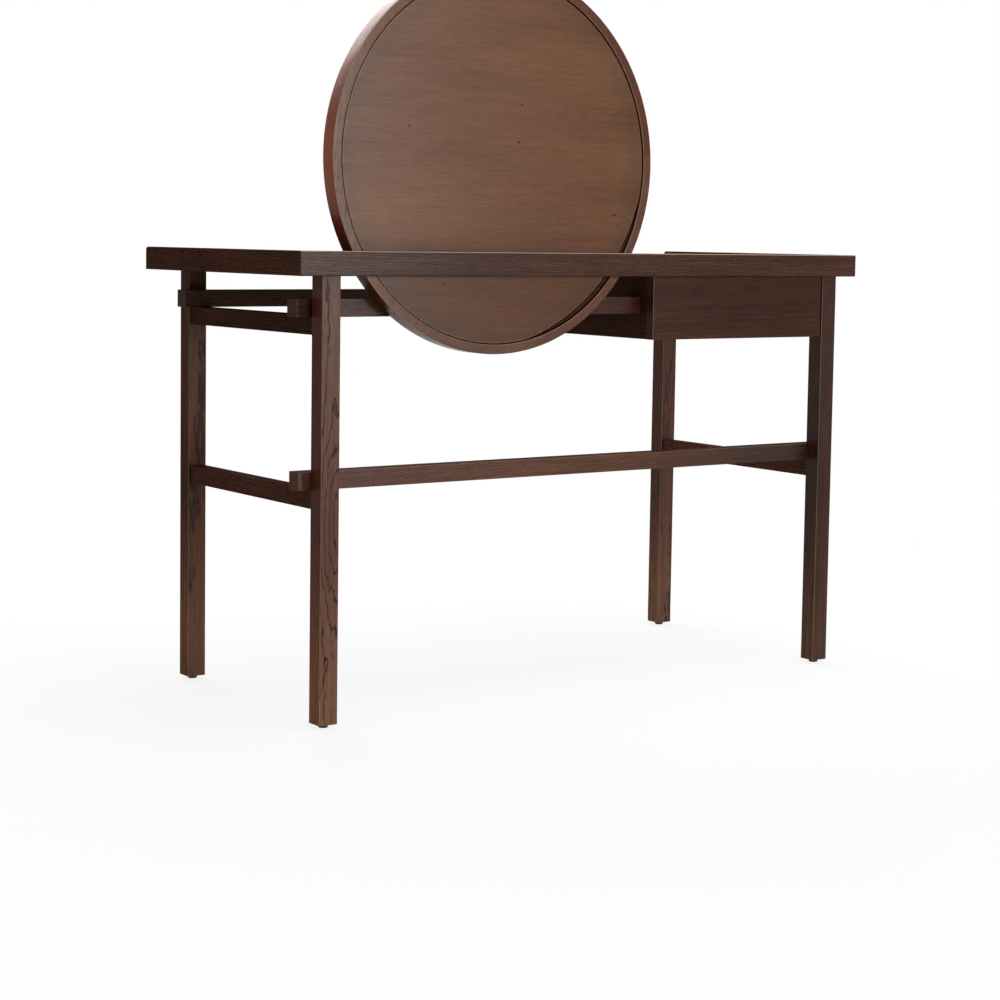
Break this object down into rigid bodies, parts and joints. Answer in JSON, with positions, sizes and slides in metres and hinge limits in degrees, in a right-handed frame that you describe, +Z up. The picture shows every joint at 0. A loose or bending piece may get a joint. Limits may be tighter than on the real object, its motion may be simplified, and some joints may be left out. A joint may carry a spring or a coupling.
{
  "type": "writing desk with mirror",
  "caption": "Wooden writing desk with a recessed top, a drawer under one end, slim rails between square legs, and a large round mirror standing in a slot along the back edge.",
  "frame": {"origin": "on the floor under the middle of the top", "axes": "+X to the right of the person who sits at the desk, +Y away from them towards the mirror, +Z up"},
  "size_m": [1.2, 0.55, 1.245],
  "materials": {
    "oak": "dark stained, satin",
    "walnut": "stained, satin",
    "beech": "bare",
    "birch": "clear lacquer, satin",
    "plywood": "clear lacquer, satin",
    "silvered_glass": "polished",
    "zinc_steel": "zinc plated, satin",
    "black_steel": "matt black",
    "black_plastic": "matt",
    "rubber": "matt"
  },
  "bodies": {
    "frame": {"top_panel": "oak", "rim_back": "oak", "rim_left": "oak", "rim_right": "oak", "rim_dowels": "beech", "leg_front_left": "oak", "leg_front_right": "oak", "leg_back_left": "oak", "leg_back_right": "oak", "leg_dowels": "beech", "foot_glides": "black_plastic", "cross_rail_lower_left": "oak", "cross_rail_lower_right": "oak", "cross_rail_upper_right": "oak", "rail_upper_front": "oak", "rail_upper_back": "oak", "stretcher_back": "oak", "rail_dowels": "beech", "case_back_panel": "oak", "case_outer_side": "oak", "case_inner_side": "oak", "case_bottom_panel": "plywood", "runner_cleat": "beech", "case_dowels": "beech", "case_blocks": "beech", "block_screws": "zinc_steel", "drawer_bumpers": "rubber", "runner_channel_left": "zinc_steel", "runner_channel_right": "zinc_steel", "channel_screws": "zinc_steel"},
    "drawer": {"drawer_front": "oak", "drawer_inner_front": "birch", "drawer_side_left": "birch", "drawer_side_right": "birch", "drawer_back": "birch", "drawer_bottom": "plywood", "drawer_dowels": "beech", "front_screws": "zinc_steel", "runner_bar_left": "zinc_steel", "runner_bar_right": "zinc_steel", "bar_screws": "zinc_steel"},
    "mirror": {"mirror_ring_upper": "walnut", "mirror_ring_lower": "walnut", "mirror_ring_right": "walnut", "mirror_core": "plywood", "mirror_back_panel": "walnut", "mirror_back_strip": "walnut", "mirror_glass": "silvered_glass", "mirror_hangers": "black_steel", "hanger_pads": "black_plastic", "hanger_screws": "zinc_steel"}
  },
  "joints": [
    {"name": "drawer_slide", "type": "slide", "parent": "frame", "child": "drawer", "axis": [0, -1, 0], "range_m": [0, 0.3]},
    {"name": "mirror_slide", "type": "slide", "parent": "frame", "child": "mirror", "axis": [1, 0, 0], "range_m": [-0.051, 0.03]}
  ]
}
